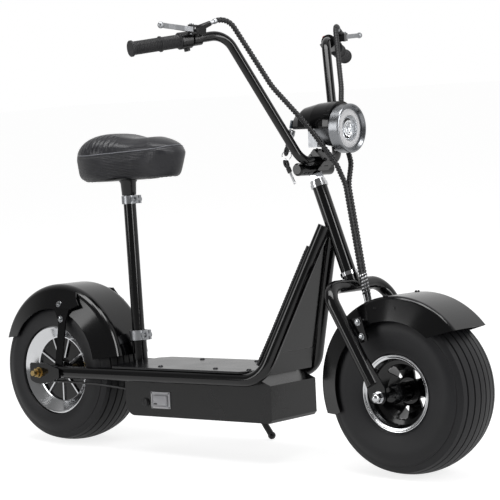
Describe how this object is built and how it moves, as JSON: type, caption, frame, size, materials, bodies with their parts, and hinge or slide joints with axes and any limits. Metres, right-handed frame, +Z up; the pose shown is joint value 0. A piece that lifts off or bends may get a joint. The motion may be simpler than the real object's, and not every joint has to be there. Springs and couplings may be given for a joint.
{
  "type": "electric scooter",
  "caption": "seated electric scooter with fat tyres, low deck over a battery box, high chopper handlebar, round headlight, padded saddle on a post and a side stand",
  "frame": {"origin": "on the floor under the middle of the scooter's overall box, as it leans on its side stand", "axes": "+X forwards along the scooter, +Y to the rider's left, the side of the stand, +Z up"},
  "size_m": [1.4519, 0.8329, 1.0633],
  "materials": {
    "black_paint": "gloss",
    "box_paint": "satin",
    "deck_coat": "satin",
    "chrome_parts": "polished",
    "zinc_steel": "plated",
    "polished_rim": "polished",
    "lever_alloy": "satin",
    "tyre_rubber": "matte",
    "grip_rubber": "matte",
    "black_plastic": "satin",
    "hood_plastic": "gloss",
    "lamp_ring_paint": "satin",
    "lamp_lens": "clear",
    "switch_frame": "satin",
    "cable_wrap": "spiral wrapped",
    "saddle_vinyl": "textured vinyl"
  },
  "bodies": {
    "frame": {"frame_tube_right": "black_paint", "frame_tube_left": "black_paint", "head_tube": "black_paint", "headset": "chrome_parts", "front_panel": "black_paint", "cross_members": "box_paint", "battery_box": "box_paint", "deck_plate": "deck_coat", "deck_bolts": "chrome_parts", "rear_dropouts": "black_paint", "rear_axle": "zinc_steel", "rear_fender": "black_paint", "fender_struts": "black_paint", "seat_tube": "black_paint", "seat_tube_clamp": "lever_alloy", "power_switch": "switch_frame", "charge_socket": "black_plastic", "stand_bracket": "black_paint", "frame_harness": "cable_wrap"},
    "rear_wheel": {"rear_tyre": "tyre_rubber", "rear_rim": "polished_rim", "rear_motor": "black_paint"},
    "steering": {"fork": "black_paint", "front_axle": "chrome_parts", "front_fender": "black_paint", "fender_brackets": "black_paint", "fork_stem": "black_paint", "head_nuts": "chrome_parts", "bar_clamp": "black_paint", "handlebar": "black_paint", "throttle_grip": "grip_rubber", "left_grip": "grip_rubber", "brake_perches": "black_plastic", "brake_levers": "lever_alloy", "switch_pod": "black_plastic", "headlight_shell": "lamp_ring_paint", "headlight_ring": "lamp_ring_paint", "headlight_lens": "lamp_lens", "headlight_hood": "hood_plastic", "lamp_bracket": "zinc_steel", "ignition_lock": "chrome_parts", "bar_harness": "cable_wrap"},
    "front_wheel": {"front_tyre": "tyre_rubber", "front_rim": "polished_rim", "front_disc": "black_paint", "front_hub": "black_paint"},
    "seat": {"seat_post": "chrome_parts", "saddle_base": "black_plastic", "saddle": "saddle_vinyl"},
    "side_stand": {"side_stand": "black_paint"}
  },
  "joints": [
    {"name": "steering_turn", "type": "hinge", "parent": "frame", "child": "steering", "pos_m": [0.372, -0.03662, 0.45687], "axis": [-0.3567, 0.0652, 0.9319], "range_deg": [-35, 35]},
    {"name": "front_wheel_spin", "type": "hinge", "parent": "steering", "child": "front_wheel", "pos_m": [0.539, -0.05525, 0.19052], "axis": [0, 0.9976, -0.0698], "continuous": true},
    {"name": "rear_wheel_spin", "type": "hinge", "parent": "frame", "child": "rear_wheel", "pos_m": [-0.531, -0.05525, 0.19052], "axis": [0, 0.9976, -0.0698], "continuous": true},
    {"name": "side_stand_fold", "type": "hinge", "parent": "frame", "child": "side_stand", "pos_m": [-0.05013, 0.05463, 0.14196], "axis": [-0.0078, 0.9397, 0.3419], "range_deg": [0, 98]},
    {"name": "seat_height", "type": "slide", "parent": "frame", "child": "seat", "axis": [-0.0454, 0.0697, 0.9965], "range_m": [0, 0.1]}
  ]
}
